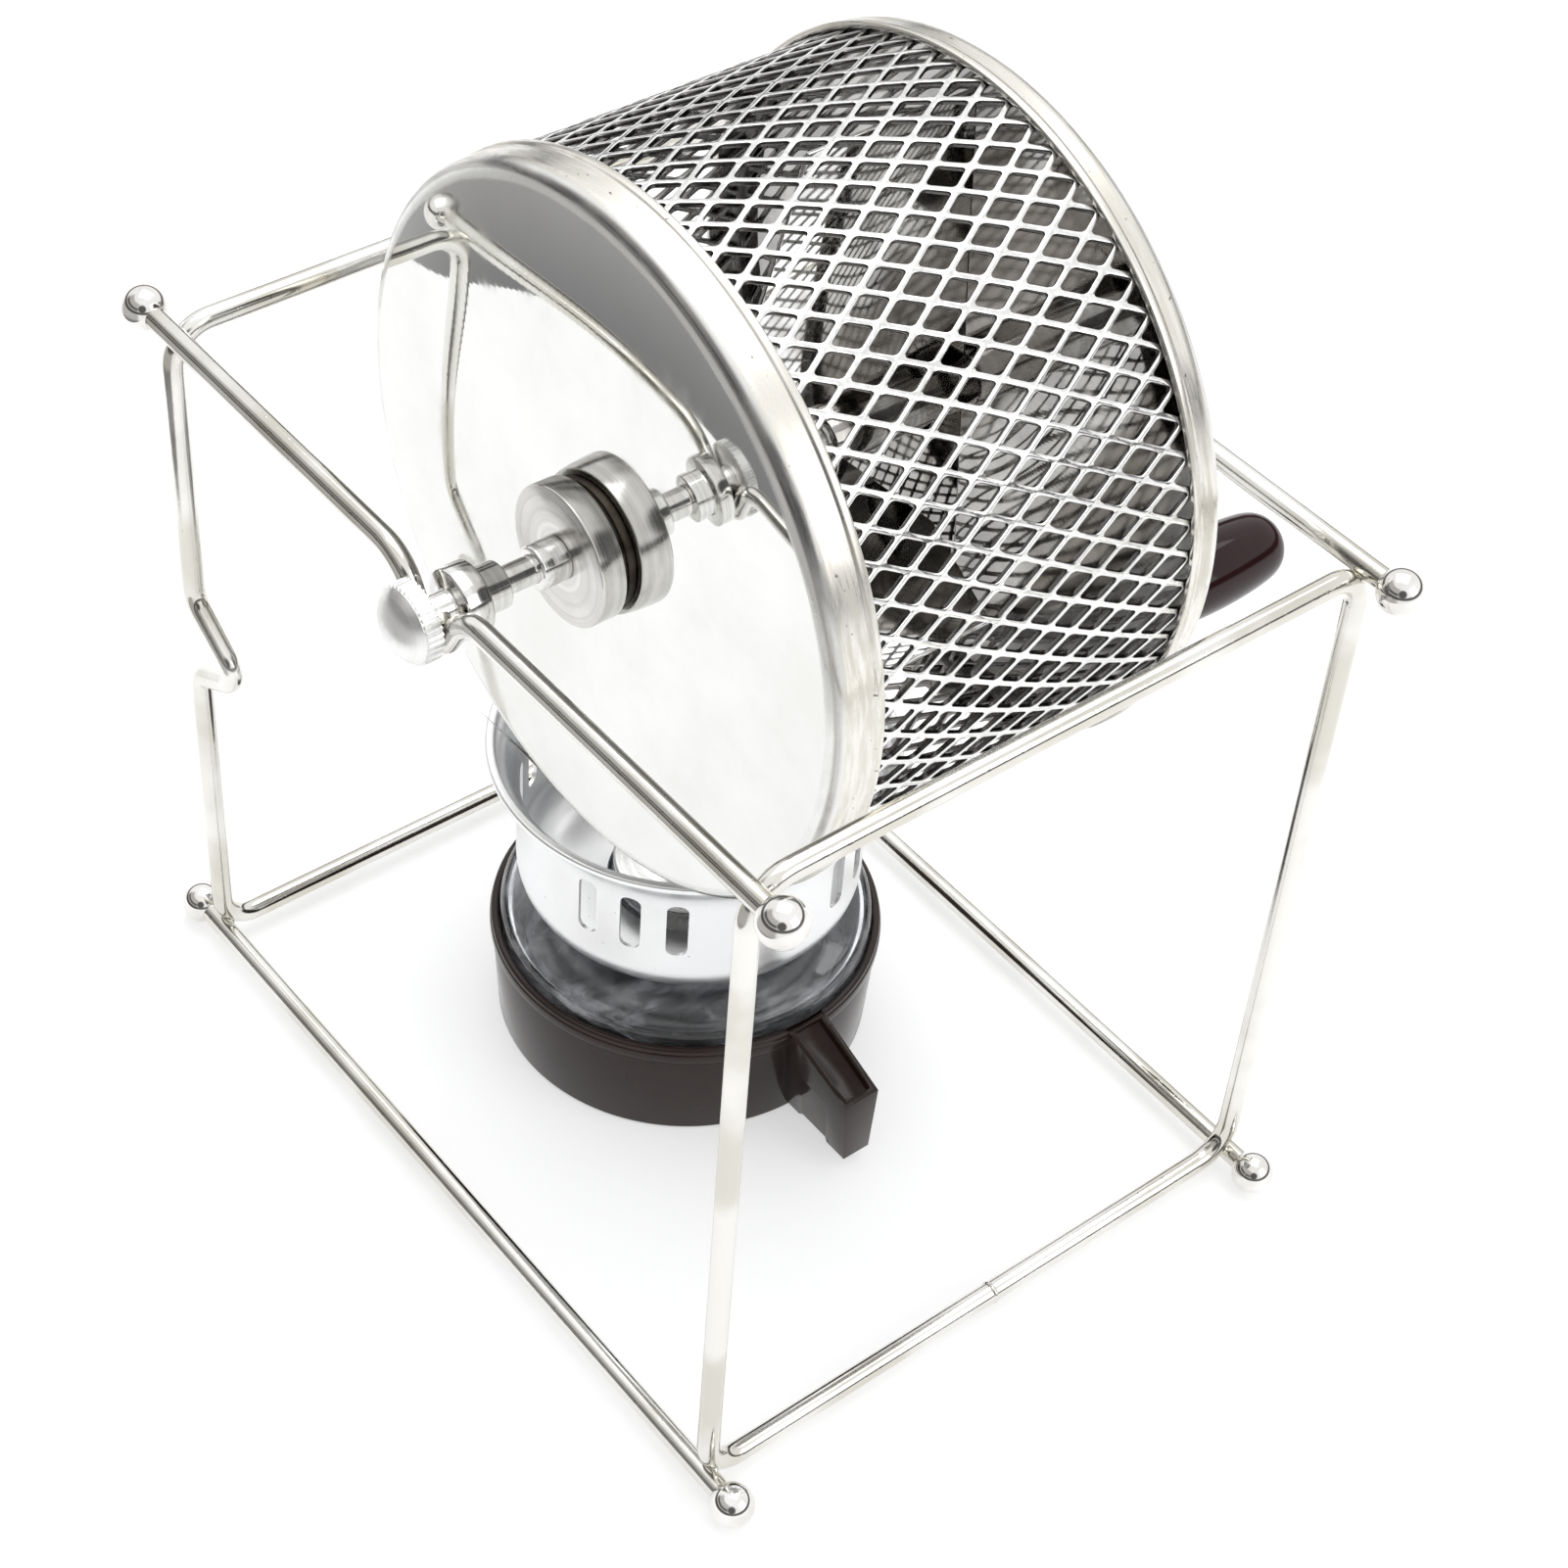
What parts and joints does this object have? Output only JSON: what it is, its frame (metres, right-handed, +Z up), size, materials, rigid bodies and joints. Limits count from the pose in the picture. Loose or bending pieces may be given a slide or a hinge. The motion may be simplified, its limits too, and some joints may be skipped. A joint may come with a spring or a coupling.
{
  "type": "hand cranked coffee roaster",
  "caption": "Hand-cranked mesh-drum coffee bean roaster on a wire stand, with a spirit burner and windshield below the drum.",
  "frame": {"origin": "on the floor, midway between the side loops and midway between the front and rear rails, straight below the drum's axis", "axes": "+X along the rails towards the burner's handle, +Y along the drum's axis from the knob to the crank, +Z up"},
  "size_m": [0.1988, 0.1983, 0.2264],
  "materials": {
    "nickel_wire": "bright nickel-plated wire",
    "nickel_ball": "polished plated balls",
    "expanded_mesh": "bright expanded steel",
    "mirror_cap": "mirror-polished pressed sheet with faint smudges",
    "shaft_steel": "bright drawn bar",
    "mirror_blade": "polished sheet",
    "turned_steel": "turned and polished",
    "knurled_steel": "knurled band, polished dome",
    "tinted_ring": "brown heat tint",
    "crank_steel": "polished flat bar",
    "grip_bakelite": "dark red-brown, glossy",
    "base_bakelite": "dark brown, glossy moulding",
    "clear_glass": "clear thick glass",
    "cap_metal": "satin",
    "cotton_wick": "white woven cotton",
    "spun_aluminium": "satin spun aluminium"
  },
  "bodies": {
    "frame": {"left_side_loop": "nickel_wire", "right_side_loop": "nickel_wire", "front_top_rail": "nickel_wire", "rear_top_rail": "nickel_wire", "front_bottom_rail": "nickel_wire", "rear_bottom_rail": "nickel_wire", "top_ball_ends": "nickel_ball", "foot_balls": "nickel_ball"},
    "drum": {"drum_mesh": "expanded_mesh", "front_cap": "mirror_cap", "rear_cap": "mirror_cap", "drum_shaft": "shaft_steel", "front_stirring_blades": "mirror_blade", "rear_stirring_blades": "mirror_blade", "front_neck": "turned_steel", "rear_neck": "turned_steel", "knurled_knob": "knurled_steel", "hole_ring": "tinted_ring", "rear_flange": "turned_steel", "crank_boss": "turned_steel", "crank_arm": "crank_steel", "crank_nut": "crank_steel", "handle_spindle": "shaft_steel"},
    "plug": {"fill_plug": "turned_steel", "plug_hub": "turned_steel"},
    "grip": {"handle_grip": "grip_bakelite"},
    "burner": {"burner_base": "base_bakelite", "glass_bowl": "clear_glass", "wick_cap": "cap_metal", "wick": "cotton_wick"},
    "windshield": {"windshield": "spun_aluminium"}
  },
  "joints": [
    {"name": "drum_spin", "type": "hinge", "parent": "frame", "child": "drum", "pos_m": [0, 0, 0.15676], "axis": [0, 1, 0], "continuous": true},
    {"name": "plug_slide", "type": "slide", "parent": "drum", "child": "plug", "axis": [0, -1, 0], "range_m": [0, 0.0065]},
    {"name": "grip_spin", "type": "hinge", "parent": "drum", "child": "grip", "pos_m": [0.0244, 0, 0.10195], "axis": [0, 1, 0], "continuous": true},
    {"name": "burner_slide", "type": "slide", "parent": "frame", "child": "burner", "axis": [0.9923, 0, 0.124], "range_m": [0, 0.165]},
    {"name": "windshield_lift", "type": "slide", "parent": "burner", "child": "windshield", "axis": [0, 0, 1], "range_m": [0, 0.012]}
  ]
}
